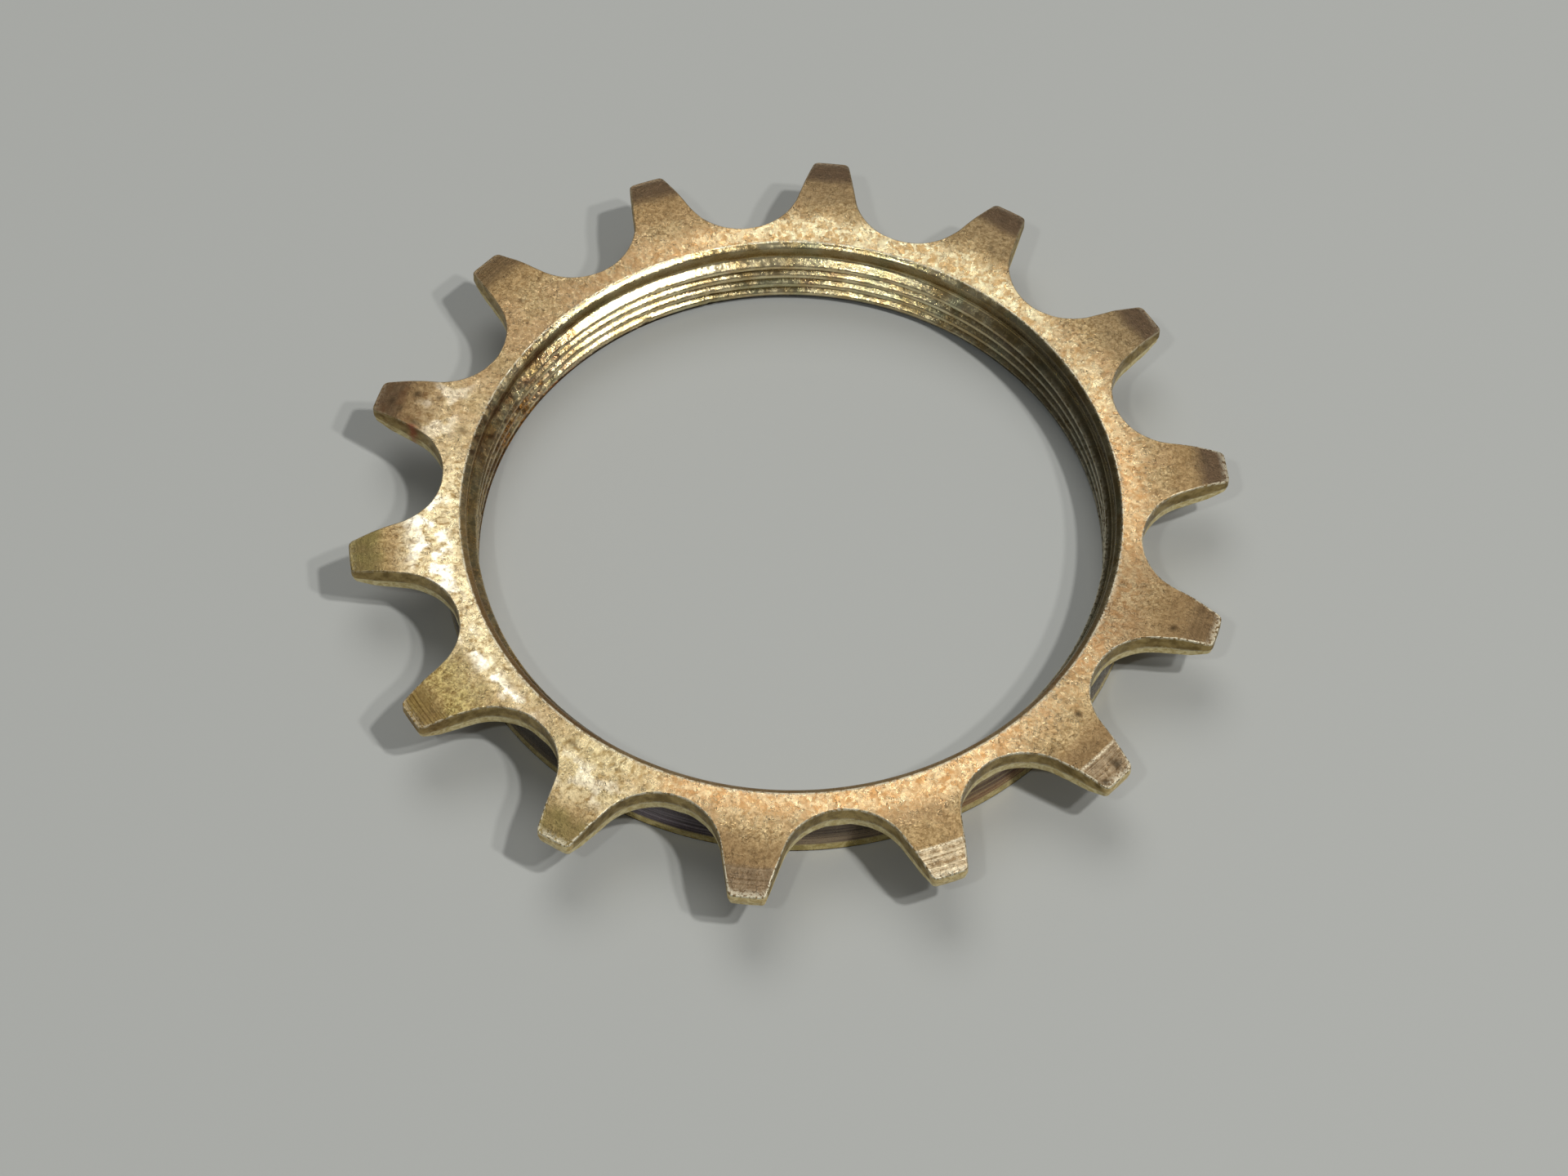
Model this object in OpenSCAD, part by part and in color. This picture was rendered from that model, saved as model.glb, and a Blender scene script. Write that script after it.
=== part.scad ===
// Threaded rear sprocket for half-inch chain, as one piece of steel. The
// toothed plate sits on top of a plain round collar, and one threaded bore
// runs through both of them.
//
// Origin: on the axis, at the lower face of the collar. +Z points out of the
// toothed face. One tooth is centred on +Y.

/* [Chain and teeth] */
// Number of teeth
teeth = 14; // [14:1:20]
// Chain pitch, mm
chain_pitch = 12.7; // [12.6:0.05:12.8]
// Diameter of the chain roller that seats on the root circle, mm
roller_d = 7.75; // [7.5:0.05:7.8]
// Radius of the round bottom of each gullet, mm
gullet_r = 4.45; // [4.0:0.05:4.5]
// Slope of each tooth flank to the tooth's own centre line, degrees
flank_angle = 13.5; // [12:0.5:15]
// Height of the tooth tips above the pitch circle, mm
tip_rise = 2.5; // [2.2:0.05:2.8]
// Radius of the corners at the tooth tips, seen along the axis, mm
tip_corner_r = 0.45; // [0.2:0.05:0.6]

/* [Toothed plate] */
// Thickness of the plate, mm
plate_t = 2.25; // [1.8:0.05:2.6]
// Radial width of the bevel on the upper face of the tips, mm
top_bevel_w = 2.1; // [1.0:0.1:2.3]
// Drop of that bevel at the tip, mm
top_bevel_h = 0.6; // [0.3:0.05:0.7]
// Radial width of the bevel on the lower face of the tips, mm
low_bevel_w = 1.4; // [0.6:0.1:1.6]
// Rise of that bevel at the tip, mm
low_bevel_h = 0.4; // [0.15:0.01:0.5]

/* [Collar] */
// Height from the collar's lower face to the toothed face, mm
total_h = 5.6; // [5.2:0.05:6.2]
// Outer diameter of the collar, mm
collar_d = 49; // [48.4:0.1:49.1]
// Break on the collar's outer lower edge, mm
collar_edge = 0.1; // [0.1:0.05:0.4]

/* [Thread] */
// Threads per inch
thread_tpi = 24; // [24:1:26]
// Diameter across the thread's crests, mm
crest_d = 44.2; // [43.8:0.1:44.3]
// Width of the flat on each crest, mm
crest_flat = 0.3; // [0.28:0.01:0.34]
// Depth of the thread, mm
thread_depth = 0.6; // [0.45:0.01:0.6]
// Depth of the first crest's centre below the toothed face, mm
first_crest = 1.7; // [1.6:0.01:1.75]
// Diameter of the plain counterbore above the first crest, mm
relief_d = 45.5; // [45.45:0.05:45.8]
// Diameter of the lead-in cone at the toothed face, mm
lead_in_d = 46.4; // [46.2:0.1:46.8]

/* [Hidden] */

steel_gold = [0.66, 0.55, 0.30];

turned_fn = 180; // facets of every turned surface
gullet_fn = 96;  // facets of a gullet's round bottom
cut_over = 1;    // how far cutters pass the faces they open

pitch_r = chain_pitch / 2 / sin(180 / teeth);
root_r = pitch_r - roller_d / 2;
tip_r = pitch_r + tip_rise;
collar_r = collar_d / 2;
plate_z = total_h - plate_t;

// ---------------------------------------------------------------------
// Blank: plate, collar and bevelled rim, before bore and teeth
// ---------------------------------------------------------------------
module turned_blank() {
    rotate_extrude($fn = turned_fn)
        polygon([
            [0, 0],
            [collar_r - collar_edge, 0],
            [collar_r, collar_edge],
            [collar_r, plate_z],
            [tip_r - low_bevel_w, plate_z],
            [tip_r, plate_z + low_bevel_h],
            [tip_r, total_h - top_bevel_h],
            [tip_r - top_bevel_w, total_h],
            [0, total_h]
        ]);
}

// ---------------------------------------------------------------------
// Gullets, laid out on +X: x runs out along the gullet's centre line
// ---------------------------------------------------------------------
half_pitch = 180 / teeth; // half the angle from tooth to tooth
gullet_x = root_r + gullet_r;
rim_over = 2; // how far a gullet's cutter reaches past the tips

// The side wall: its angle to the centre line, its direction, its normal
// into the tooth, and where it leaves the round bottom at a tangent
open_angle = flank_angle + half_pitch;
flank_dir = [cos(open_angle), sin(open_angle)];
flank_normal = [-sin(open_angle), cos(open_angle)];
flank_start = [gullet_x, 0] + gullet_r * flank_normal;

// The tip corner's arc is tangent to the flank and to the tip circle. Its
// centre is where the flank, offset into the tooth, meets the tip circle
// drawn in by the same radius.
offset_start = flank_start + tip_corner_r * flank_normal;
along = offset_start * flank_dir;
beyond = offset_start * offset_start - pow(tip_r - tip_corner_r, 2);
corner_centre = offset_start + (sqrt(along * along - beyond) - along) * flank_dir;
corner_from = open_angle - 90;
corner_to = atan2(corner_centre.y, corner_centre.x);
corner_steps = 6;

function polar(radius, angle) = radius * [cos(angle), sin(angle)];

corner_arc = [
    for (i = [0 : corner_steps])
        let (angle = corner_from + (corner_to - corner_from) * i / corner_steps)
        corner_centre + polar(tip_corner_r, angle)
];

// Round bottom plus the opening between two flanks and their tip corners
module gullet() {
    cut_h = plate_t + 2 * cut_over;
    side = concat([flank_start], corner_arc, [polar(tip_r + rim_over, corner_to)]);
    mirrored = [for (i = [len(side) - 1 : -1 : 0]) [side[i].x, -side[i].y]];

    translate([gullet_x, 0, plate_z - cut_over])
        cylinder(r = gullet_r, h = cut_h, $fn = gullet_fn);
    translate([0, 0, plate_z - cut_over])
        linear_extrude(height = cut_h)
            polygon(concat([[gullet_x, 0]], side, mirrored));
}

module gullets() {
    for (i = [0 : teeth - 1])
        rotate([0, 0, 90 + half_pitch + i * 2 * half_pitch])
            gullet();
}

// ---------------------------------------------------------------------
// Bore: crest cylinder and the counterbore with its lead-in cone
// ---------------------------------------------------------------------
crest_r = crest_d / 2;
relief_r = relief_d / 2;
lead_in_r = lead_in_d / 2;
lead_in_slope = 30; // lead-in cone's angle to the toothed face
thread_slope = 30;  // thread flanks' angle to the toothed face
lead_in_h = (lead_in_r - relief_r) * tan(lead_in_slope);
relief_overlap = 0.5; // how far the counterbore's section reaches into the bore

// The counterbore's floor is the upper flank of the first crest
first_crest_z = total_h - first_crest;
floor_in_z = first_crest_z + crest_flat / 2;
floor_out_z = floor_in_z + (relief_r - crest_r) * tan(thread_slope);

module bore() {
    translate([0, 0, -cut_over])
        cylinder(r = crest_r, h = total_h + 2 * cut_over, $fn = turned_fn);
    rotate_extrude($fn = turned_fn)
        polygon([
            [crest_r - relief_overlap, floor_in_z],
            [crest_r, floor_in_z],
            [relief_r, floor_out_z],
            [relief_r, total_h - lead_in_h],
            [lead_in_r, total_h],
            [lead_in_r, total_h + cut_over],
            [crest_r - relief_overlap, total_h + cut_over]
        ]);
}

// ---------------------------------------------------------------------
// Thread: closed ring grooves at the thread's pitch, so that the crests
// between them stay lands of one true cylinder
// ---------------------------------------------------------------------
inch = 25.4;
thread_pitch = inch / thread_tpi;
groove_overlap = 0.35; // how far a groove's section reaches into the bore
min_root_hw = 0.01;    // keeps the groove's bottom from closing up

// Half widths of a groove at the crests and at its bottom
groove_hw = (thread_pitch - crest_flat) / 2;
root_hw = max(groove_hw - thread_depth * tan(thread_slope), min_root_hw);

// Grooves below the first crest whose upper edge is not below the collar
groove_count = floor((first_crest_z + groove_hw) / thread_pitch + 0.5);

module thread_grooves() {
    for (i = [1 : groove_count])
        translate([0, 0, first_crest_z + (0.5 - i) * thread_pitch])
            rotate_extrude($fn = turned_fn)
                polygon([
                    [crest_r - groove_overlap, -groove_hw],
                    [crest_r, -groove_hw],
                    [crest_r + thread_depth, -root_hw],
                    [crest_r + thread_depth, root_hw],
                    [crest_r, groove_hw],
                    [crest_r - groove_overlap, groove_hw]
                ]);
}

// ---------------------------------------------------------------------
// The sprocket
// ---------------------------------------------------------------------
module threaded_sprocket() {
    color(steel_gold)
    difference() {
        turned_blank();
        gullets();
        bore();
        thread_grooves();
    }
}

threaded_sprocket();
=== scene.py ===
"""A 14-tooth sprocket in yellow zinc plate: a toothed plate on a collar with a threaded bore.

The axis is Z through the origin. The collar's foot is at z = 0 and the plate's face on top at
z = 5.6 mm. One tooth points along +Y, and the camera looks down from the -Y side. Lengths are
in millimetres until the mesh is made. Angles about the axis run anticlockwise from +X.
"""

import itertools
import math

import bpy
import numpy as np
from mathutils import Matrix, Vector


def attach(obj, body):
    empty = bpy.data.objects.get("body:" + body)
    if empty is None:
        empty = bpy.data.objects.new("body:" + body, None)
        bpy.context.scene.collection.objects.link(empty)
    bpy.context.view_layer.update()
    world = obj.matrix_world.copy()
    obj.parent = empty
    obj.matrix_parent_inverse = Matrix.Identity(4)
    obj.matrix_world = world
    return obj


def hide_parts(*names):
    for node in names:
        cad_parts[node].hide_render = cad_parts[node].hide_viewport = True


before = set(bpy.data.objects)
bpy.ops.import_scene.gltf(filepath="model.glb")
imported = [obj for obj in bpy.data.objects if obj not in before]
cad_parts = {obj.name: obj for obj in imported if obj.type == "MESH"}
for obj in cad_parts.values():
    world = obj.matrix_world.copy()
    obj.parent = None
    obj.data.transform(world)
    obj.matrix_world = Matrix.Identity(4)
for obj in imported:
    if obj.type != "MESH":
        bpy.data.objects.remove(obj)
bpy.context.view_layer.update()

MM = 0.001
PI = math.pi

# --- Sizes of the part -------------------------------------------------------
TEETH = 14
HALF_PITCH = PI / TEETH  # angle from a gullet to the next tooth
PITCH_R = 12.7 / 2 / math.sin(HALF_PITCH)
ROOT_R = PITCH_R - 7.75 / 2
TIP_R = PITCH_R + 2.5
GULLET_R = 4.45
GULLET_CENTRE = ROOT_R + GULLET_R
FLANK_ANGLE = math.radians(13.5) + HALF_PITCH  # from the gullet's own axis
CORNER_R = 0.45
HEIGHT = 5.6
PLATE_Z = HEIGHT - 2.25
TOP_BEVEL_W, TOP_BEVEL_H = 2.1, 0.6
LOW_BEVEL_W, LOW_BEVEL_H = 1.4, 0.4
TOP_CREASE_R = TIP_R - TOP_BEVEL_W
LOW_CREASE_R = TIP_R - LOW_BEVEL_W
COLLAR_R, COLLAR_ROUND = 24.5, 0.1
FILLET_R = 0.012

# Bore: thread, plain relief above it, and a lead-in cone at the top
CREST_R, THREAD_DEPTH = 22.1, 0.6
LEAD = 25.4 / 24
CREST_FLAT = 0.3
LEAD_IN_R, RELIEF_R = 23.2, 22.75
SLOPE = math.tan(PI / 6)
RELIEF_FOOT_Z = HEIGHT - 1.7 + CREST_FLAT / 2
RELIEF_Z = RELIEF_FOOT_Z + (RELIEF_R - CREST_R) * SLOPE
CONE_Z = HEIGHT - (LEAD_IN_R - RELIEF_R) * SLOPE
GROOVE_Z, GROOVE_ANGLE = 4.48, math.radians(125)  # a point on the groove's centre line
BORE_LOW_Z = 0.03

# Segments along half a tooth's outline
N_ARC, N_FLANK, N_CORNER, N_TIP = 18, 12, 6, 4


# --- Noise and shaping -------------------------------------------------------
def gradient_noise(p, seed):
    """Gradient noise on a hashed lattice, the same every time."""
    rng = np.random.RandomState(1000 + seed)
    perm = np.tile(rng.permutation(256), 3)
    grads = rng.normal(size=(256, 3))
    grads /= np.linalg.norm(grads, axis=1)[:, None]
    cell = np.floor(p).astype(int)
    f = p - cell
    fade = f * f * f * (f * (f * 6 - 15) + 10)
    total = np.zeros(len(p))
    for corner in itertools.product((0, 1), repeat=3):
        cx, cy, cz = ((cell + corner) & 255).T
        picked = grads[perm[perm[perm[cx] + cy] + cz]]
        weight = np.where(corner, fade, 1 - fade).prod(axis=1)
        total += weight * np.einsum("ij,ij->i", picked, f - corner)
    return total * 1.6


def fbm(p, seed, octaves=3):
    """Octaves of noise, each half as strong and about twice as fine as the last."""
    strength, scale, result, total = 1.0, 1.0, 0.0, 0.0
    for octave in range(octaves):
        result = result + strength * gradient_noise(p * scale, seed + octave * 7)
        total += strength
        strength *= 0.5
        scale *= 2.03
    return result / total


def smooth(low, high, x):
    t = np.clip((x - low) / (high - low), 0, 1)
    return t * t * (3 - 2 * t)


def at_z(xy, z=0.0):
    return np.column_stack([xy, np.broadcast_to(z, len(xy))])


def radius(xy):
    return np.linalg.norm(xy, axis=1)


def turned_by(xy, angle):
    c, s = math.cos(angle), math.sin(angle)
    return np.stack([c * xy[:, 0] - s * xy[:, 1], s * xy[:, 0] + c * xy[:, 1]], 1)


def unit(angles):
    return np.stack([np.cos(angles), np.sin(angles)], 1)


def steps_to(start, step, reach):
    """How many steps from start it takes to come out to the radius reach."""
    a = (step * step).sum(-1)
    b = 2 * (start * step).sum(-1)
    c = (start * start).sum(-1) - reach ** 2
    return (-b + np.sqrt(np.maximum(b * b - 4 * a * c, 0))) / (2 * a)


def degrees_off(degrees, centre):
    return np.abs((degrees - centre + 180) % 360 - 180)


# --- Outline of the teeth ----------------------------------------------------
def half_outline():
    """Points, outward normals and 0-1 place up the flank, from mid gullet to mid tooth.

    The gullet lies along +X.
    """
    gullet = unit((PI / 2 - FLANK_ANGLE) * np.arange(N_ARC) / N_ARC) * [-1, 1]
    along = np.array([math.cos(FLANK_ANGLE), math.sin(FLANK_ANGLE)])
    normal = np.array([along[1], -along[0]])
    tangent = np.array([GULLET_CENTRE, 0]) - GULLET_R * normal
    inset = tangent - CORNER_R * normal
    flank = steps_to(inset, along, TIP_R - CORNER_R)
    up_flank = np.arange(N_FLANK) / N_FLANK
    centre = inset + flank * along
    low, high = FLANK_ANGLE - PI / 2, math.atan2(centre[1], centre[0])
    corner = unit(low + (high - low) * np.arange(N_CORNER) / N_CORNER)
    tip = unit(high + (HALF_PITCH - high) * np.arange(N_TIP + 1) / N_TIP)
    points = np.vstack([
        [GULLET_CENTRE, 0] + GULLET_R * gullet,
        tangent + flank * up_flank[:, None] * along,
        centre + CORNER_R * corner,
        TIP_R * tip,
    ])
    normals = np.vstack([-gullet, np.tile(normal, (N_FLANK, 1)), corner, tip])
    place = np.concatenate([np.zeros(N_ARC), up_flank, np.ones(N_CORNER + N_TIP + 1)])
    return points, normals, place


def with_mirror(half):
    other = turned_by(half * [1, -1], 2 * HALF_PITCH)[::-1]
    return np.vstack([half, other[1:-1]])


half_points, half_normals, half_place = half_outline()
one_outline, one_normals = with_mirror(half_points), with_mirror(half_normals)
PER_TOOTH = len(one_outline)
COLUMNS = PER_TOOTH * TEETH
starts = [PI / 2 - HALF_PITCH + k * 2 * HALF_PITCH for k in range(TEETH)]
OUTLINE = np.vstack([turned_by(one_outline, a) for a in starts])
NORMAL = np.vstack([turned_by(one_normals, a) for a in starts])
PLACE = np.tile(np.concatenate([half_place, half_place[::-1][1:-1]]), TEETH)
THETA = np.concatenate([a + 2 * HALF_PITCH * np.arange(PER_TOOTH) / PER_TOOTH for a in starts])
RING = unit(THETA)


def on_wall(scale, z, seed, octaves=3):
    """Noise along the outline, at a height z."""
    return fbm(at_z(OUTLINE, z) * scale, seed, octaves)


def outward(distance):
    return NORMAL * np.asarray(distance)[:, None]


def ring(r):
    """A point at radius r in each column."""
    return RING * np.broadcast_to(r, COLUMNS)[:, None]


# Small differences between teeth, and wear along the edges
wander = 0.018 * on_wall(0.35, z=0, seed=3, octaves=2) - 0.018
nicks = -0.10 * np.clip(on_wall(1.1, z=1.0, seed=9, octaves=2) - 0.42, 0, 1)
nicks = nicks * smooth(0.2, 0.9, PLACE)
EDGE = OUTLINE + outward(wander + nicks)
R_EDGE = radius(EDGE)
ROOM = 0.11 + 1.5 * (radius(OUTLINE) - ROOT_R)  # gullet bottoms run close to the collar
TOP_ROUND = 0.075 + 0.055 * on_wall(1.3, z=5.0, seed=21) + 0.03 * PLACE
TOP_ROUND = np.clip(TOP_ROUND, 0.03, 0.17)
LOW_ROUND = np.clip(0.07 + 0.03 * on_wall(1.0, z=9.0, seed=23, octaves=2), 0.04, 0.12)
LOW_ROUND = np.minimum(LOW_ROUND, 0.40 * ROOM)
CRISP = np.clip(1.6 - degrees_off(np.degrees(THETA), 300) / 40, 0, 1)


def top_z(r):
    """Plane face, then the bevel; the crease between them is rounder where it is not crisp."""
    x = r - TOP_CREASE_R
    width = 0.10 + 0.55 * (1 - CRISP)
    return HEIGHT - TOP_BEVEL_H / TOP_BEVEL_W * 0.5 * (x + np.sqrt(x * x + width * width))


def low_z(r):
    return PLATE_Z + LOW_BEVEL_H * np.clip((r - LOW_CREASE_R) / LOW_BEVEL_W, 0, 1)


# The skin is a closed stack of rows: up the bore, over the top, down the wall, in under the
# plate and down the collar. Each row is its points and its masks.
rows = []


def add(xy, z, **masks):
    rows.append((at_z(xy, z), {
        name: np.broadcast_to(np.asarray(value, float), COLUMNS)
        for name, value in masks.items()
    }))


# --- Bore, from the collar's foot up -----------------------------------------
def bore_at(z):
    """Radius, 0-1 depth in the thread, and the radius without thread, at a height z."""
    if z > RELIEF_Z:
        plain = RELIEF_R + max(z - CONE_Z, 0.0) / SLOPE
        plain += 0.03 * math.exp(-((z - CONE_Z) / 0.05) ** 2)
    elif z > RELIEF_FOOT_Z:
        plain = CREST_R + (z - RELIEF_FOOT_Z) / SLOPE
    else:
        plain = CREST_R
    # the groove's centre climbs anticlockwise: a right-hand thread
    centre_z = GROOVE_Z + LEAD * (THETA - GROOVE_ANGLE) / (2 * PI)
    turns = (z - centre_z) / LEAD
    off = np.abs(turns - np.round(turns)) * LEAD
    half_width = (LEAD - CREST_FLAT) / 2
    thread = CREST_R + THREAD_DEPTH * np.clip((half_width - off) / (half_width - 0.03), 0, 1)
    blend = 0.05
    r = 0.5 * (plain + thread + np.sqrt((plain - thread) ** 2 + blend * blend)) - 0.5 * blend
    return r, np.clip((r - plain) / THREAD_DEPTH, 0, 1), plain


BORE_ROWS = 88
left = smooth(0.0, 1.0, np.cos(THETA - math.radians(160)))
for j in range(BORE_ROWS):
    z = BORE_LOW_Z + (HEIGHT - 0.05 - BORE_LOW_Z) * j / (BORE_ROWS - 1)
    r, depth, plain = bore_at(z)
    relief = float(z > RELIEF_FOOT_Z + 0.1)
    p = at_z(ring(CREST_R), z)
    rough = fbm(p * [1.6, 1.6, 2.2], seed=31, octaves=2)
    fine = fbm(p * [2.6, 2.6, 1.2], seed=33, octaves=2)
    bruise = np.clip(fbm(p * [0.9, 0.9, 1.4], seed=37, octaves=2) - 0.28, 0, 1)
    torn = 0.20 * bruise * (0.3 + 1.2 * left) * (1 - relief) + 0.010 * rough + 0.006 * fine
    r = np.maximum(r + (1 - depth) * torn, plain - 0.001)
    add(ring(r), z, bore=1, relief=relief,
        crest=(1 - depth) * (1 - relief), root=depth * (1 - relief),
        edge=np.clip(1 - depth * 2.2, 0, 1) * 0.6 * (1 - relief),
        torn=np.clip(bruise * (0.3 + left) * 3, 0, 1))

# rim of the lead-in cone: steps outward, and depths below the face
rim = 0.012 * fbm(at_z(ring(23.2)) * 0.8, seed=41, octaves=2)
for out, down in ((0.008, 0.030), (0.028, 0.012), (0.060, 0.003)):
    add(ring(LEAD_IN_R - 0.02 + out + rim), HEIGHT - down - 0.004, bore=0.5, top=0.5, edge=0.9)


# --- Top face ----------------------------------------------------------------
def face_relief(xy):
    """Hollows below the top plane, never above it."""
    p = at_z(xy)
    broad = fbm(p * 0.16, seed=51, octaves=2) * 0.010
    middle = fbm(p * 0.75, seed=53) * 0.009
    fine = fbm(p * 2.2, seed=57, octaves=2) * 0.0045
    pits = -0.030 * np.clip(fbm(p * 1.25, seed=59, octaves=2) - 0.50, 0, 1)
    return np.minimum(broad + middle + fine + pits - 0.016, -0.001)


FACE_ROWS, BEVEL_ROWS = 34, 12
start = ring(LEAD_IN_R + 0.075 + rim)
edge_in = EDGE - outward(TOP_ROUND)
r_edge_in = radius(edge_in)
span = edge_in - start
# where the rows pass from face to bevel
crease = start + span * steps_to(start, span, np.minimum(TOP_CREASE_R, r_edge_in - 0.16))[:, None]
for j in range(FACE_ROWS + 1):
    t = j / FACE_ROWS
    xy = start + (crease - start) * t
    add(xy, top_z(radius(xy)) + face_relief(xy), top=1, edge=0.5 * (1 - smooth(0, 0.05, t)))
for j in range(1, BEVEL_ROWS + 1):
    t = j / BEVEL_ROWS
    xy = crease + (edge_in - crease) * t
    r = radius(xy)
    bevel = smooth(TOP_CREASE_R - 0.02, TOP_CREASE_R + 0.10, r)
    ridge = 0.006 * np.sin(r * 31 + 2 * fbm(at_z(xy) * 0.9, seed=61, octaves=2)) * bevel
    z = top_z(r) + face_relief(xy) * (1 + 0.8 * bevel) + ridge - 0.006 * bevel
    add(xy, z, top=1, bevel=bevel,
        edge=0.7 * smooth(0.75, 1.0, t) + 0.35 * np.exp(-((r - TOP_CREASE_R) / 0.09) ** 2))

# rolled top edge
edge_z = top_z(r_edge_in) - 0.018
bevel = smooth(TOP_CREASE_R - 0.02, TOP_CREASE_R + 0.10, R_EDGE)
for j in range(1, 5):
    a = PI / 2 * j / 5
    add(edge_in + outward(TOP_ROUND * math.sin(a)), edge_z - TOP_ROUND * (1 - math.cos(a)),
        top=1 - j / 5, bevel=bevel * (1 - j / 5), wall=j / 5, edge=1.0)

# --- Side wall: a smooth upper land, a break line and a rough lower land -----
WALL_ROWS = 14
wall_top = edge_z - TOP_ROUND
wall_foot = low_z(R_EDGE) + LOW_ROUND
break_at = 0.60 + 0.07 * on_wall(0.55, z=2.0, seed=71)
for j in range(WALL_ROWS + 1):
    t = j / WALL_ROWS
    z = wall_top + (wall_foot - wall_top) * t
    land = smooth(break_at - 0.02, break_at + 0.05, t)
    p = at_z(OUTLINE, z)
    tear = fbm(p * [2.4, 2.4, 3.2], seed=73)
    drag = fbm(p * [2.6, 2.6, 0.5], seed=75, octaves=2)
    lean = 0.085 * np.clip(t - break_at, 0, 1) / 0.4
    inset = 0.010 * (drag + 0.6) + land * (0.030 + lean + 0.020 * tear)
    inset = np.maximum(np.minimum(inset, 0.5 * ROOM), 0.001)
    add(EDGE - outward(inset), z, wall=1, land=land, tipend=PLACE > 0.98,
        edge=0.5 * np.exp(-((t - break_at) / 0.05) ** 2) + 0.8 * (t < 0.04))

# rolled lower edge, going on from the wall's last inset
for j in range(1, 4):
    a = PI / 2 * j / 4
    add(EDGE - outward(inset + LOW_ROUND * (1 - math.cos(a))),
        wall_foot - LOW_ROUND * math.sin(a),
        wall=1 - j / 4, land=1 - j / 4, under=j / 4, edge=0.7)


# --- Underside of the plate --------------------------------------------------
def under_z(xy):
    return low_z(radius(xy)) + np.maximum(0.008 + 0.008 * fbm(at_z(xy, 3.0) * 0.7, seed=81), 0.001)


low_in = EDGE - outward(inset + LOW_ROUND)
goal = ring(COLLAR_R + FILLET_R)
span = low_in - goal
reach = np.minimum(LOW_CREASE_R, radius(low_in) - 0.08)
crease = goal + span * steps_to(goal, span, reach)[:, None]
for j in range(5):
    xy = low_in + (crease - low_in) * (j / 4)
    add(xy, under_z(xy), under=1, edge=0.4 if j == 0 else 0,
        bevel=smooth(LOW_CREASE_R, LOW_CREASE_R + 0.1, radius(xy)))
for j in range(1, 11):
    xy = crease + (goal - crease) * (j / 10)
    add(xy, under_z(xy), under=1)

# --- Collar: fillet at the plate, turned side, rounded foot ------------------
for j in range(1, 4):
    a = PI / 2 * j / 4
    add(ring(COLLAR_R + FILLET_R * (1 - math.sin(a))), PLATE_Z - FILLET_R * (1 - math.cos(a)),
        under=1 - j / 4, collar=j / 4)
COLLAR_ROWS = 14
for j in range(COLLAR_ROWS + 1):
    z = PLATE_Z - FILLET_R + (COLLAR_ROUND - PLATE_Z + FILLET_R) * j / COLLAR_ROWS
    uneven = fbm(at_z(ring(COLLAR_R), z) * [0.3, 0.3, 2.0], seed=91, octaves=2)
    turning = 0.006 * (0.5 + 0.5 * math.sin(z * 23.0)) + 0.005 * (0.6 + uneven)
    add(ring(COLLAR_R - np.maximum(turning, 0.001)), z, collar=1)
for j in range(1, 5):
    a = PI / 2 * j / 5
    add(ring(COLLAR_R - COLLAR_ROUND * (1 - math.cos(a)) - 0.004),
        COLLAR_ROUND * (1 - math.sin(a)) + 0.002, collar=1, edge=0.8)
r_foot = bore_at(BORE_LOW_Z)[0]
foot_outer = COLLAR_R - COLLAR_ROUND
for j in range(6):
    add(ring(foot_outer + (r_foot + 0.07 - foot_outer) * j / 5), 0.002,
        under=1, collar=0.3, edge=0.5 if j in (0, 5) else 0)
add(ring(r_foot + 0.03), 0.005, bore=0.6, under=0.4, edge=0.9)
add(ring(r_foot + 0.008), 0.014, bore=0.9, edge=0.7)

# --- Mesh: quads between neighbouring rows, closed both ways -----------------
co = np.concatenate([points for points, _ in rows]) * MM
row, column = np.meshgrid(np.arange(len(rows)), np.arange(COLUMNS), indexing="ij")
next_row, next_column = (row + 1) % len(rows), (column + 1) % COLUMNS
quads = np.stack([
    row * COLUMNS + column, row * COLUMNS + next_column,
    next_row * COLUMNS + next_column, next_row * COLUMNS + column,
], -1).reshape(-1, 4)

mesh = bpy.data.meshes.new("sprocket_skin")
mesh.vertices.add(len(co))
mesh.vertices.foreach_set("co", co.astype(np.float32).ravel())
mesh.loops.add(quads.size)
mesh.loops.foreach_set("vertex_index", quads.astype(np.int32).ravel())
mesh.polygons.add(len(quads))
mesh.polygons.foreach_set("loop_start", np.arange(0, quads.size, 4, dtype=np.int32))
mesh.polygons.foreach_set("loop_total", np.full(len(quads), 4, dtype=np.int32))
mesh.update(calc_edges=True)
mesh.validate()
mesh.shade_smooth()
skin = bpy.data.objects.new("sprocket_skin", mesh)
bpy.context.scene.collection.objects.link(skin)

# faces point outward when the enclosed volume is positive
v0, v1, v2, v3 = co[quads].transpose(1, 0, 2)
if (v0 * (np.cross(v1, v2) + np.cross(v2, v3))).sum() < 0:
    mesh.flip_normals()

# --- Masks: row masks, then fields by place for colour, wear and painted light and shade ---
ROW_MASKS = ("top", "bevel", "wall", "land", "under", "collar", "bore", "crest", "root",
             "relief", "edge", "torn", "tipend")
nothing = np.zeros(COLUMNS)
masks = {n: np.concatenate([row_masks.get(n, nothing) for _, row_masks in rows])
         for n in ROW_MASKS}

P = co / MM
Z = P[:, 2]
R = np.hypot(P[:, 0], P[:, 1])
ANGLE = np.degrees(np.arctan2(P[:, 1], P[:, 0])) % 360
broad = fbm(P * 0.28, seed=101)
mid = fbm(P * 0.6, seed=103)
fine = fbm(P * 1.4, seed=105, octaves=2)


def sector(centre, width, soft):
    """1 at an angle, 0 from width degrees to each side; soft is the share that fades."""
    return 1 - smooth(width * (1 - soft), width, degrees_off(ANGLE, centre))


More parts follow.
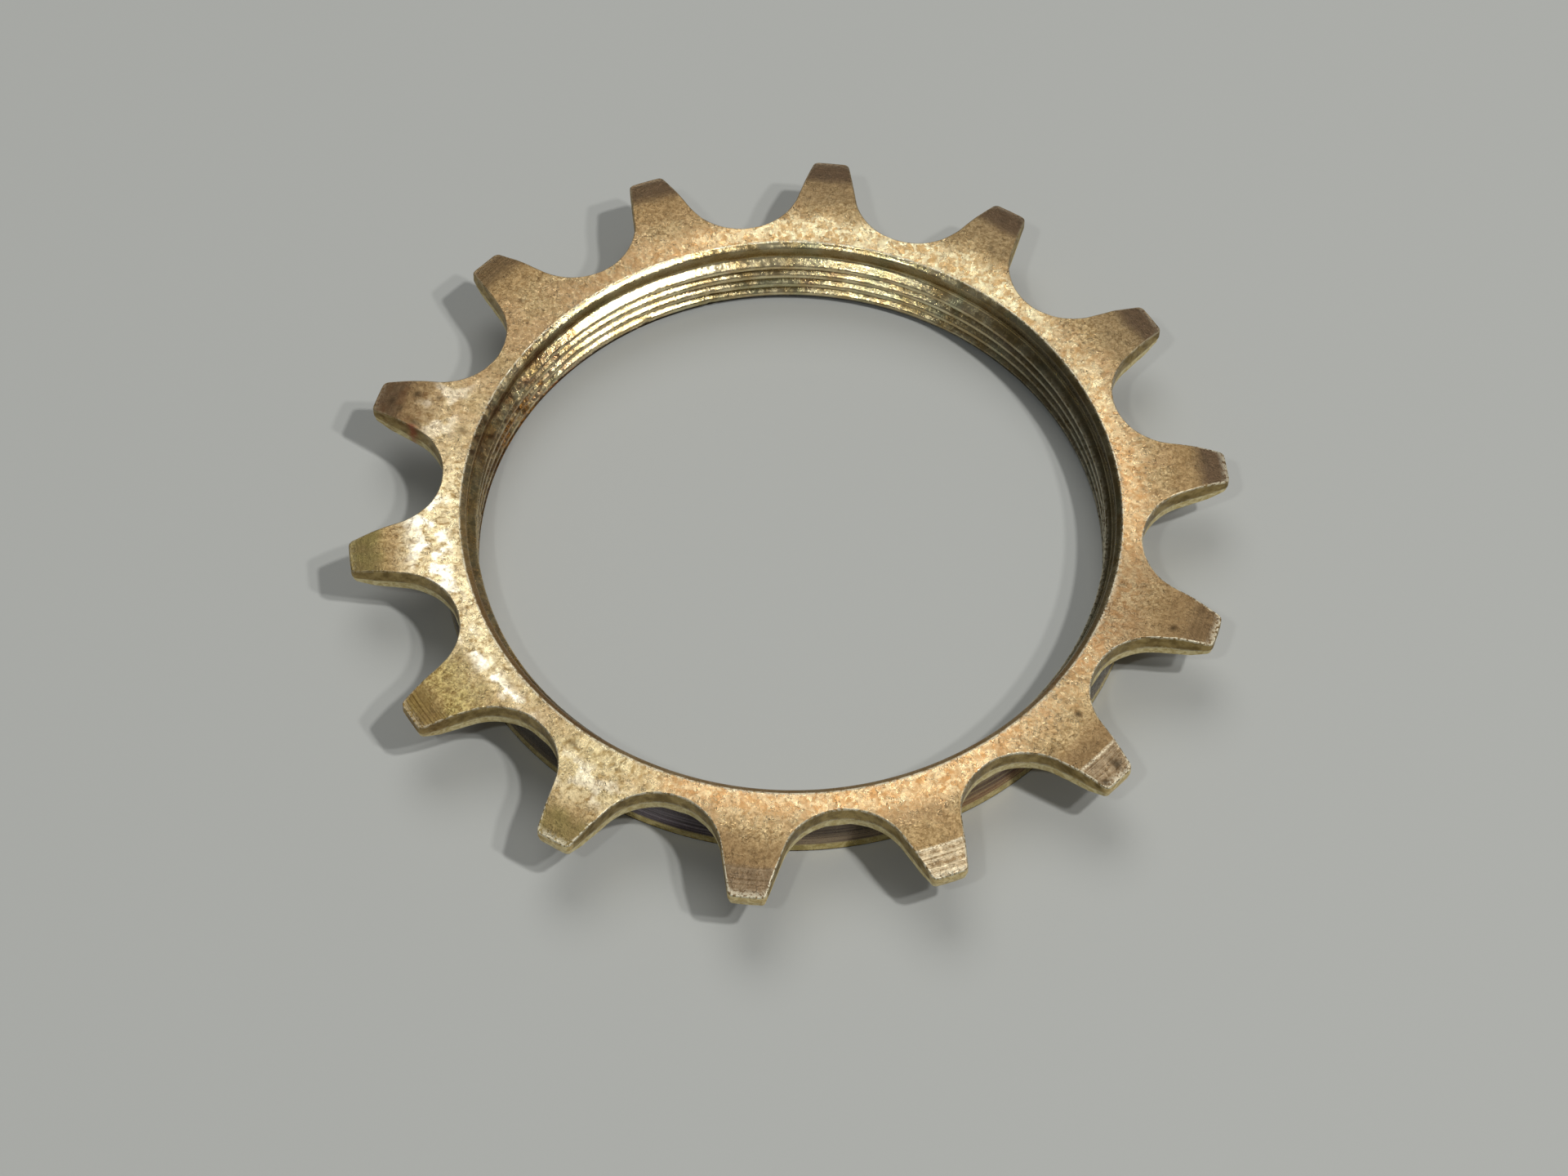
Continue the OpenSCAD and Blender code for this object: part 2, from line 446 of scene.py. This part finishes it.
def sectors(combine, *table):
    """Combine sectors given as (strength, centre, width, soft)."""
    return combine([strength * sector(*place) for strength, *place in table])


def beyond(low, high, shift=0.0):
    return smooth(low, high, R + shift)


def within(low, high, shift=0.0):
    return 1 - beyond(low, high, shift)


def spot(degrees, r, size):
    """A ragged round spot on the plan."""
    a = math.radians(degrees)
    off = P[:, :2] + np.column_stack([fine, mid]) * size * 0.9 - r * np.array(
        [math.cos(a), math.sin(a)])
    return np.exp(-(off ** 2).sum(1) / (size * size))


def painted_ring_highlight():
    """A painted highlight: the bright band round the bore's mouth."""
    reach = 25.2 + 0.7 * sectors(most, (1, 296, 14, 0.6), (1, 80, 36, 0.4))
    lit = np.maximum(0.85 * sector(285, 42, 0.5) + 0.15 * sector(294, 20, 0.6),
                     sectors(most, (1, 80, 52, 0.5), (0.85, 18, 32, 0.6)))
    lit = np.clip(lit + 0.12 * sector(335, 30, 0.5), 0, 1)
    return within(reach - 1.3, reach + 0.5, 0.7 * mid) * lit * (0.9 + 0.5 * fine)


def painted_glare():
    """Nearly white patches on the -X side of the face: a painted reflection of a lamp."""
    patch = np.clip(0.5 + 1.5 * fbm(P * [0.75, 0.75, 0.5], seed=107), 0, 1)
    return 0.9 * smooth(0.44, 0.66, patch) * most([
        sector(195, 21, 0.8) * within(25.8, 27.4, 0.9 * mid) * beyond(23.6, 24.6, 0.4 * fine),
        0.95 * sector(218, 16, 0.6) * np.exp(-((R + 0.3 * fine - 24.75) / 0.55) ** 2),
        0.45 * sector(243, 10, 0.7) * within(27.0, 28.2) * beyond(24.6, 25.4),
        0.40 * sector(166, 10, 0.6) * within(26.8, 28.0, 0.6 * mid) * beyond(24.4, 25.2),
    ])


def tip_zone():
    """The bevelled ends of the teeth, sharply bounded where the crease is crisp."""
    crisp = sector(300, 42, 0.4)
    return masks["top"] * (crisp * beyond(28.85, 29.05, 0.10 * mid)
                           + (1 - crisp) * beyond(28.35, 29.55, 0.5 * mid))


# Pale zinc patches on the face, partly pale plating and partly a painted highlight
def pale_zinc_and_sheen():
    area = most([
        sector(196, 46, 0.7) * within(26.3, 28.8, 1.2 * broad) * (0.95 + 0.8 * fine),
        sector(243, 15, 0.6) * (0.55 + 0.6 * mid) * within(27.5, 29.5),
        sector(168, 13, 0.6) * (0.35 + 1.3 * fine) * within(26.2, 28.0),
    ])
    area = area * (1 - 0.8 * sector(219, 12, 0.5) * beyond(24.9, 25.7, 0.3 * fine))
    return area * (1 - 0.5 * sector(166, 15, 0.6))


def warm():
    area = sectors(most, (1, 300, 62, 0.45), (0.85, 20, 60, 0.5), (0.55, 95, 60, 0.6))
    area = within(23.6, 26.6, 0.9 * mid) * area * (0.85 + 0.7 * mid)
    return area * (1 - 0.40 * sector(323, 15, 0.6)) * (1 - 0.20 * sector(268, 10, 0.6))


def green():
    tips = sector(193, 10, 0.5) * beyond(27.6, 28.8) * 0.9
    rest = sectors(most, (0.3, 219, 13, 0.5), (0.7, 243, 14, 0.6))
    return np.maximum(rest, tips) * (0.8 + 0.8 * mid)


def dull():
    teeth = sectors(sum, (1, 322, 16, 0.5), (1, 348, 14, 0.5), (0.9, 167, 10, 0.5),
                    (0.9, 270, 13, 0.5), (0.35, 30, 80, 0.4), (0.3, 120, 50, 0.4))
    out = np.maximum(beyond(25.6, 28.2, 0.8 * broad), 0.8 * sector(348, 15, 0.7))
    return out * np.clip(teeth, 0, 1)


most = np.maximum.reduce
# dark spots: angle, radius, size, strength
DARK_SPOTS = (
    (167.5, 29.9, 0.34, 0.6), (168.8, 29.0, 0.22, 0.6), (165.2, 26.6, 0.18, 0.6),
    (324.6, 25.85, 0.22, 1.0), (345.0, 28.2, 0.26, 0.8), (166.0, 28.2, 0.32, 0.9),
    (170.5, 27.6, 0.28, 0.7), (143.0, 26.4, 0.22, 0.6), (322.5, 30.1, 0.34, 0.8),
    (319.5, 30.5, 0.28, 0.7), (63.0, 26.9, 0.2, 0.5), (39.0, 27.3, 0.2, 0.5),
    (238.0, 24.4, 0.3, 0.5), (170.0, 24.2, 0.25, 0.6), (28.5, 25.0, 0.16, 0.7),
)
masks["tipend"] = masks["tipend"] * sector(280, 62, 0.3)
at_mouth = (masks["bore"] > 0) & (masks["bore"] < 1)
# edge wear and painted glints: full round the bore's mouth, elsewhere mostly on the near (-Y) side
masks["edge"] = masks["edge"] * np.where(at_mouth, 1.0, 0.2 + 0.8 * sector(300, 110, 0.5))
masks.update({
    "tan_bore": sector(196, 50, 0.6),
    "orange_dirt": sector(157, 13, 0.7) * np.clip(0.45 + 1.3 * fine, 0, 1) * (Z < 3.2),
    "ring_highlight": painted_ring_highlight(),
    "lemon": sector(66, 52, 0.5),
    # painted highlight: a light line along the bevel crease of the near teeth
    "crease": sector(308, 28, 0.5) * np.exp(-((R - TOP_CREASE_R) / 0.06) ** 2) * masks["top"],
    "copper": sector(310, 14, 0.6),
    "redspot": spot(171.5, 27.7, 0.26),
    "yellow": sector(218, 10, 0.5) * beyond(25.2, 27.0, 0.8 * fine) * (0.85 + 0.8 * mid),
    "painted_glare": painted_glare(),
    "purple": sectors(sum, (1, 254, 16, 0.6), (0.35, 75, 60, 0.6)),
    "shade": sectors(most, (1, 12, 62, 0.55), (1, 232, 14, 0.5)),
    "tipzone": tip_zone(),
    "outer": beyond(25.9, 27.6, 0.7 * broad + 0.5 * fine),
    # painted shade: a dark band on the near side of the bore's lead-in cone
    "rim_shade": sector(268, 90, 0.35) * (R < 23.25) * (Z > 4.6),
    "pale_zinc_and_sheen": pale_zinc_and_sheen(),
    "warm": warm(),
    "green": green(),
    "dull": dull(),
    "rusty": (sector(167, 9, 0.4) * beyond(25.5, 27.5) * (0.9 * fine + 0.02)
              + sector(218, 8, 0.4) * beyond(28.6, 29.6) * 0.25),
    "dark": most([strength * spot(*place) for *place, strength in DARK_SPOTS]),
    # painted shade on the tooth-tip bevels, strongest on the far teeth
    "tip_bevel_shade": sectors(sum, (0.95, 70, 75, 0.5), (1, 12, 12, 0.4), (0.2, 347, 12, 0.4),
                        (0.1, 141, 10, 0.4), (0.7, 167, 10, 0.4), (0.55, 270, 10, 0.4),
                        (0.35, 322, 10, 0.4)),
    "tip_score": sectors(sum, (0.9, 296, 11, 0.4), (0.45, 322, 11, 0.4), (0.30, 270, 11, 0.4)),
    "bore_dirt": (np.clip(sector(158, 26, 0.6) * (0.5 + 1.4 * fine), 0, 1)
                  + np.clip(0.4 * mid, 0, 1) * 0.3),
})
for name, value in masks.items():
    attribute = mesh.attributes.new(name, "FLOAT", "POINT")
    attribute.data.foreach_set("value", np.clip(value, 0, 1).astype(np.float32))


# --- Shader helpers ----------------------------------------------------------
def node(tree, kind, inputs={}, **settings):
    """A shader node; an input is another node's output, a mask's name or a plain value."""
    made = tree.nodes.new("ShaderNode" + kind)
    for key, value in settings.items():
        setattr(made, key, value)
    for key, value in inputs.items():
        if isinstance(value, str):
            value = attr(value)
        if isinstance(value, bpy.types.NodeSocket):
            tree.links.new(value, made.inputs[key])
        else:
            made.inputs[key].default_value = value
    return made


material = bpy.data.materials.new("yellow_zinc_plate")
material.use_nodes = True
zinc = material.node_tree
zinc.nodes.clear()


def attr(name):
    return node(zinc, "Attribute", attribute_name=name).outputs["Fac"]


def calc(operation, a, b, clamp=False):
    inputs = {0: a, 1: b, 2: 0.0}
    return node(zinc, "Math", inputs, operation=operation, use_clamp=clamp).outputs[0]


def mul(a, b):
    return calc("MULTIPLY", a, b)


def plus(a, b):
    return calc("ADD", a, b)


def add_up(total, *terms):
    """Add terms, each a (pattern, weight), to a total."""
    for pattern, weight in terms:
        total = plus(total, mul(pattern, weight))
    return total


def remap(x, low, high, to_low=0.0, to_high=1.0):
    inputs = {0: x, 1: low, 2: high, 3: to_low, 4: to_high}
    return node(zinc, "MapRange", inputs, interpolation_type="SMOOTHSTEP").outputs[0]


def linear(colour):
    """Scene-linear RGBA of an 8-bit sRGB colour; a node's output passes through."""
    if not isinstance(colour, tuple):
        return colour
    parts = [c / 255 for c in colour]
    return (*[c / 12.92 if c <= 0.04045 else ((c + 0.055) / 1.055) ** 2.4 for c in parts], 1)


def mix(factor, first, second):
    inputs = {0: factor, 6: linear(first), 7: linear(second)}
    return node(zinc, "Mix", inputs, data_type="RGBA").outputs[2]


def tone(pattern, low, high, first, second):
    """From the first colour to the second as the pattern goes from low to high."""
    return mix(remap(pattern, low, high), first, second)


def layers(base, *coats):
    """Lay coats over a base; a coat is (mask, colour) or (mask, strength, colour)."""
    for *mask, colour in coats:
        base = mix(mul(*mask) if len(mask) == 2 else mask[0], base, colour)
    return base


def noise(vector, scale, detail, rough, distort=0.0, output="Fac"):
    inputs = {"Vector": vector, "Scale": scale, "Detail": detail, "Roughness": rough,
              "Distortion": distort}
    return node(zinc, "TexNoise", inputs).outputs[output]


# Position in millimetres, height, distance from the axis and direction from it
coords = node(zinc, "TexCoord").outputs["Object"]
pos = node(zinc, "VectorMath", {0: coords, "Scale": 1000}, operation="SCALE").outputs[0]
split = node(zinc, "SeparateXYZ", {0: pos}).outputs
height = split[2]
flat = node(zinc, "CombineXYZ", {0: split[0], 1: split[1]}).outputs[0]
from_axis = node(zinc, "VectorMath", {0: flat}, operation="LENGTH").outputs["Value"]
direction = node(zinc, "VectorMath", {0: flat}, operation="NORMALIZE").outputs[0]


def polar(around, along_r, along_z):
    """Seamless round the axis, in cells per mm: around (at 24 mm), outward and upward."""
    scaled = node(zinc, "VectorMath", {0: direction, "Scale": 24.0 * around},
                  operation="SCALE").outputs[0]
    xyz = node(zinc, "SeparateXYZ", {0: scaled}).outputs
    third = plus(mul(from_axis, along_r), mul(height, along_z))
    return node(zinc, "CombineXYZ", {0: xyz[0], 1: xyz[1], 2: third}).outputs[0]


def cells(feature):
    """Irregular crystal-like cells, their borders bent by noise."""
    bend = noise(pos, scale=2.2, detail=2, rough=0.5, output="Color")
    bent = node(zinc, "VectorMath", {0: bend, 1: (0.88, 0.88, 0.88), 2: pos},
                operation="MULTIPLY_ADD").outputs[0]
    return node(zinc, "TexVoronoi", {"Scale": 3.1, "Vector": bent}, feature=feature).outputs


# --- Patterns and masks that several parts of the material share -------------
crinkle = noise(pos, scale=2.6, detail=6, rough=0.62, distort=0.5)
grain = noise(pos, scale=9.0, detail=3, rough=0.6)
speck = noise(pos, scale=4.4, detail=5, rough=0.70, distort=0.4)
flake = noise(polar(2.5, 1.7, 1.7), scale=1.0, detail=5, rough=0.64, distort=0.5)
facet = node(zinc, "SeparateColor", {0: cells("F1")["Color"]}).outputs[0]
seam = cells("DISTANCE_TO_EDGE")["Distance"]
cloud = noise(pos, scale=0.55, detail=5, rough=0.6, distort=0.3)
mottle = noise(pos, scale=1.5, detail=5, rough=0.66, distort=0.8)
turned = noise(polar(0.12, 9.0, 0.0), scale=1.0, detail=3, rough=0.6)
turned_z = noise(polar(0.10, 0.0, 7.0), scale=1.0, detail=4, rough=0.65)
hue = noise(pos, scale=0.32, detail=3, rough=0.5, distort=0.6)
top, wall, land, collar, bore = map(attr, ("top", "wall", "land", "collar", "bore"))
outer, tipzone = attr("outer"), attr("tipzone")
seamline = mul(remap(seam, 0.055, 0.0), remap(mottle, 0.46, 0.62))
specks = remap(speck, 0.36, 0.64)
calm = calc("SUBTRACT", 1.0, calc("MAXIMUM", mul(outer, 0.55), mul("pale_zinc_and_sheen", 0.60)))
# edges worn through to bright metal, in broken dashes, with painted glints; so mostly on the near
# (-Y) side
worn_edge_and_glint = mul("edge", remap(noise(pos, scale=4.2, detail=3, rough=0.65), 0.43, 0.51))


# --- Colour ------------------------------------------------------------------
def face_colour():
    crystals = plus(mul(facet, 0.30), mul(plus(speck, crinkle), 0.35))
    freckles = mul(remap(mottle, 0.58, 0.72), remap(grain, 0.45, 0.6))
    return layers(
        mix(specks, (170, 138, 90), (236, 210, 160)),
        (remap(hue, 0.42, 0.62), 0.4, (206, 166, 122)),
        (remap(cloud, 0.52, 0.72), 0.45, (150, 122, 80)),
        ("warm", 0.85, tone(flake, 0.42, 0.60, (224, 168, 110), (255, 232, 186))),
        ("green", 0.65, mix(specks, (166, 154, 84), (216, 206, 138))),
        (outer, 0.75, mix("lemon", mix(specks, (158, 129, 86), (192, 162, 114)),
                          mix(specks, (140, 120, 86), (172, 150, 112)))),
        # painted highlight in a band round the bore's mouth
        ("ring_highlight", 0.9, tone(crystals, 0.34, 0.66,
                            mix("lemon", (220, 166, 104), (208, 172, 116)),
                            mix("lemon", (255, 228, 178), (255, 246, 204)))),
        ("yellow", 0.8, mix(specks, (132, 108, 50), (224, 207, 134))),
        ("dull", 0.55, (146, 120, 86)),
        # pale plating, partly a painted highlight
        ("pale_zinc_and_sheen", 0.95, tone(flake, 0.36, 0.52, (190, 158, 104), (252, 234, 188))),
        # painted reflection: nearly white glare patches on the -X side
        ("painted_glare", remap(speck, 0.30, 0.46), (255, 252, 236)),
        # short dark cracks, then dark freckles
        (mul(mul(seamline, top), calm), 0.65, (118, 84, 50)),
        (mul(mul(freckles, top), calm), 0.5, (100, 78, 54)),
    )


def tip_bevel_colour():
    ridges = plus(mul(turned, 0.50), mul(speck, 0.50))
    return layers(
        tone(turned, 0.4, 0.62, (138, 114, 80), (154, 128, 92)),
        (remap(mottle, 0.52, 0.66), 0.6, (108, 86, 62)),
        ("tip_score", tone(ridges, 0.40, 0.58, (168, 141, 103), (246, 229, 194))),
        # painted shade on the tip bevels
        ("tip_bevel_shade", 0.8, tone(mottle, 0.38, 0.62, (92, 76, 66), (124, 102, 84))),
        ("green", 0.8, (170, 160, 96)),
        ("yellow", 0.8, tone(turned, 0.40, 0.58, (118, 92, 38), (196, 172, 102))),
    )


def wall_colour():
    """Olive upper land, cream lower land."""
    blotches = noise(pos, scale=1.1, detail=4, rough=0.6)
    upper = tone(blotches, 0.38, 0.64, (134, 112, 64), (180, 156, 100))
    lower = tone(crinkle, 0.38, 0.62, (216, 194, 130), (250, 236, 186))
    return layers(
        mix(land, upper, lower),
        ("tipend", 0.9, tone(crinkle, 0.38, 0.62, (206, 178, 116), (252, 232, 176))),
    )


def collar_colour():
    return layers(
        tone(turned_z, 0.40, 0.62, (120, 98, 84), (196, 172, 140)),
        ("purple", 0.7, tone(turned_z, 0.44, 0.60, (72, 64, 86), (178, 172, 198))),
        ("copper", 0.8, tone(turned_z, 0.42, 0.60, (150, 92, 44), (255, 218, 150))),
        # painted shade towards the plate, under its overhang; painted light in a band near the
        # foot, where light passes under the plate; brown at the very foot
        (remap(height, 1.3, 2.4, 0.15, 0.65), (36, 27, 20)),
        ("shade", 0.6, (44, 40, 30)),
        (remap(height, 1.05, 0.75), collar,
         tone(mottle, 0.4, 0.6, (196, 174, 104), (232, 212, 148))),
        (remap(height, 0.20, 0.10), (84, 56, 34)),
    )


def bore_colour():
    streaks = noise(polar(0.5, 0.0, 1.0), scale=1.0, detail=4, rough=0.6)
    relief_band = mul(remap(height, 4.40, 4.50), remap(height, 5.34, 5.26))
    return layers(
        tone(streaks, 0.36, 0.64, (206, 178, 120), (250, 234, 186)),
        (remap(hue, 0.50, 0.64), 0.4, (170, 186, 150)),
        (remap(cloud, 0.56, 0.70), 0.3, (196, 140, 128)),
        # painted shade in the thread's roots
        ("root", 0.85, (86, 68, 32)),
        # painted shade on the plain relief wall below the lead-in cone
        (mul("relief", relief_band), 0.7, (120, 98, 54)),
        # painted shade: darker near the bore's foot, by the table
        (remap(height, 0.78, 0.50, 0.0, 0.9), (52, 44, 36)),
        ("shade", 0.78, (58, 52, 32)),
        ("tan_bore", 0.55, tone(crinkle, 0.4, 0.6, (116, 86, 48), (196, 154, 92))),
        ("bore_dirt", 0.75, (110, 66, 30)),
        ("orange_dirt", 0.7, tone(speck, 0.42, 0.56, (96, 52, 20), (224, 158, 66))),
        # painted shade on the near side of the lead-in cone
        ("rim_shade", 0.85, (112, 84, 50)),
    )


colour = layers(
    face_colour(),
    (tipzone, 0.85, tip_bevel_colour()),
    (wall, wall_colour()),
    ("under", 0.9, tone(mottle, 0.38, 0.64, (150, 126, 78), (190, 168, 116))),
    (collar, collar_colour()),
    (bore, bore_colour()),
    # painted highlight along the bevel crease
    ("crease", remap(grain, 0.36, 0.56), (252, 240, 210)),
    # worn edges with painted glints
    (worn_edge_and_glint, 0.85, (250, 242, 214)),
    ("rusty", 0.7, tone(crinkle, 0.4, 0.6, (120, 72, 44), (158, 112, 70))),
    ("dark", 0.85, (58, 44, 30)),
    ("redspot", 0.7, (176, 74, 54)),
)

# --- Roughness, fine relief and metal ----------------------------------------
roughness = add_up(
    remap(flake, 0.40, 0.62, 0.42, 0.22),
    (outer, 0.12), ("dull", 0.10), ("ring_highlight", -0.04), (tipzone, 0.06), (mul(wall, land), 0.10),
    ("dark", 0.3), ("rusty", 0.3), (bore, -0.12), (collar, -0.12), (worn_edge_and_glint, -0.12),
    (remap(grain, 0.4, 0.65), 0.05),
)
roughness = calc("MINIMUM", calc("MAXIMUM", roughness, 0.14), 0.85)

face = calc("SUBTRACT", 1.0, calc("MAXIMUM", bore, calc("MAXIMUM", wall, collar)))
wall_tears = noise(pos, scale=5.0, detail=4, rough=0.7)
relief_height = add_up(
    mul(crinkle, plus(0.45, mul(mul(face, calm), 0.9))),
    (speck, plus(0.15, mul(mul(face, calm), 0.55))),
    (grain, 0.18),
    (mul(seamline, top), -0.35),
    (mul(mul(facet, face), calm), 0.22),
    (mul(turned, "bevel"), plus(0.25, mul("tip_score", 1.2))),
    (mul(turned_z, plus(collar, mul(bore, 0.3))), 0.7),
    (mul(wall_tears, mul(wall, land)), 0.9),
)
# less fine relief under the painted highlights
smoothed = plus(mul("ring_highlight", 0.30), mul("painted_glare", 0.50))
bump = node(zinc, "Bump", {
    "Strength": calc("MAXIMUM", calc("SUBTRACT", 0.72, smoothed), 0.15),
    "Distance": 0.00009,
    "Height": relief_height,
})
less_metal = plus(mul(worn_edge_and_glint, 0.40), plus(mul(mul(wall, land), 0.45),
                                        plus(mul("tipend", 0.35), mul("rim_shade", 0.55))))
plate = node(zinc, "BsdfPrincipled", {
    "Base Color": colour,
    "Roughness": roughness,
    "Normal": bump.outputs[0],
    "Metallic": calc("SUBTRACT", 0.92, less_metal, clamp=True),
})
node(zinc, "OutputMaterial", {0: plate.outputs[0]})
mesh.materials.append(material)

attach(skin, "root")
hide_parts("threaded_sprocket")

# --- Floor and world, in metres ----------------------------------------------
FLOOR_HALF = 1.2
FLOOR_DROP = 0.00002
SKY = (0.95, 0.97, 1.0, 1)
floor_mesh = bpy.data.meshes.new("floor")
corners = [(x * FLOOR_HALF, y * FLOOR_HALF, 0) for x, y in ((-1, -1), (1, -1), (1, 1), (-1, 1))]
floor_mesh.from_pydata(corners, [], [(0, 1, 2, 3)])
floor = bpy.data.objects.new("floor", floor_mesh)
bpy.context.scene.collection.objects.link(floor)
floor.location.z = -FLOOR_DROP
floor_material = bpy.data.materials.new("pale_floor")
floor_material.use_nodes = True
tree = floor_material.node_tree
# far out the camera sees the floor glow, so that it runs into the backdrop
away = node(tree, "VectorMath", {0: node(tree, "TexCoord").outputs["Object"]},
            operation="LENGTH")
haze = node(tree, "MapRange", {"From Min": 0.18, "From Max": 1.1, "To Max": 0.22,
                               "Value": away.outputs["Value"]}, interpolation_type="SMOOTHSTEP")
seen = node(tree, "LightPath").outputs["Is Camera Ray"]
glow = node(tree, "Math", {0: haze.outputs["Result"], 1: seen}, operation="MULTIPLY")
surface = tree.nodes["Principled BSDF"].inputs
surface["Base Color"].default_value = (0.47, 0.485, 0.47, 1)
surface["Roughness"].default_value = 0.6
surface["Emission Color"].default_value = SKY
tree.links.new(glow.outputs[0], surface["Emission Strength"])
floor_mesh.materials.append(floor_material)

world = bpy.data.worlds.new("studio")
bpy.context.scene.world = world
world.use_nodes = True
tree = world.node_tree
# dim as a light, brighter as the camera's backdrop
seen = node(tree, "LightPath").outputs["Is Camera Ray"]
fill = node(tree, "MapRange", {"To Min": 0.11, "To Max": 0.42, "Value": seen})
background = tree.nodes["Background"].inputs
background["Color"].default_value = SKY
tree.links.new(fill.outputs["Result"], background["Strength"])

# --- Lamps: discs aimed at the origin ----------------------------------------
# name, azimuth and elevation in degrees, distance and size in metres, watts, colour
LAMPS = (
    ("key_a", -19, 62, 0.9, 0.05, 2.7, (1.0, 0.98, 0.95)),
    ("key_b", -23, 54, 0.9, 0.05, 1.5, (1.0, 0.98, 0.95)),
    ("front", -112, 59, 0.9, 0.05, 0.75, (0.98, 1.0, 0.97)),
    ("back", 104, 57, 1.0, 0.70, 2.6, (1.0, 0.98, 0.94)),
)
for name, azimuth, elevation, distance, size, watts, tint in LAMPS:
    light = bpy.data.lights.new(name, "AREA")
    light.shape = "DISK"
    light.size = size
    light.energy = watts
    light.color = tint
    lamp = bpy.data.objects.new(name, light)
    a, e = math.radians(azimuth), math.radians(elevation)
    lamp.location = distance * Vector(
        (math.cos(a) * math.cos(e), math.sin(a) * math.cos(e), math.sin(e)))
    lamp.rotation_euler = (-lamp.location).to_track_quat("-Z", "Y").to_euler()
    bpy.context.scene.collection.objects.link(lamp)

# --- Camera: a long lens, 57 degrees above the table -------------------------
SENSOR, LENS = 36, 108.12654375
VIEW_TURN, VIEW_ELEVATION, VIEW_ROLL = map(math.radians, (4.9, 57.199, -0.763))
# millimetres along the view's right, up and back, from a point on the axis
VIEW_RIGHT, VIEW_UP, VIEW_BACK = -0.4371703, -3.06191165, 333.681712
VIEW_BASE_Z = 0.769
right = Vector((1, 0, 0))
up = Vector((0, math.sin(VIEW_ELEVATION), math.cos(VIEW_ELEVATION)))
back = Vector((0, -math.cos(VIEW_ELEVATION), math.sin(VIEW_ELEVATION)))
place = right * VIEW_RIGHT + up * VIEW_UP + back * VIEW_BACK + Vector((0, 0, VIEW_BASE_Z))
c, s = math.cos(VIEW_ROLL), math.sin(VIEW_ROLL)
turn = Matrix.Rotation(VIEW_TURN, 3, "Z")
axes = Matrix((turn @ (right * c - up * s), turn @ (right * s + up * c), turn @ back))
camera_data = bpy.data.cameras.new("camera")
camera_data.sensor_fit = "HORIZONTAL"
camera_data.sensor_width = SENSOR
camera_data.lens = LENS
camera_data.clip_start = 0.01
camera = bpy.data.objects.new("camera", camera_data)
camera.matrix_world = Matrix.Translation(turn @ place * MM) @ axes.transposed().to_4x4()
bpy.context.scene.collection.objects.link(camera)
bpy.context.scene.camera = camera
bpy.context.scene.view_settings.view_transform = "Standard"

bpy.context.view_layer.update()
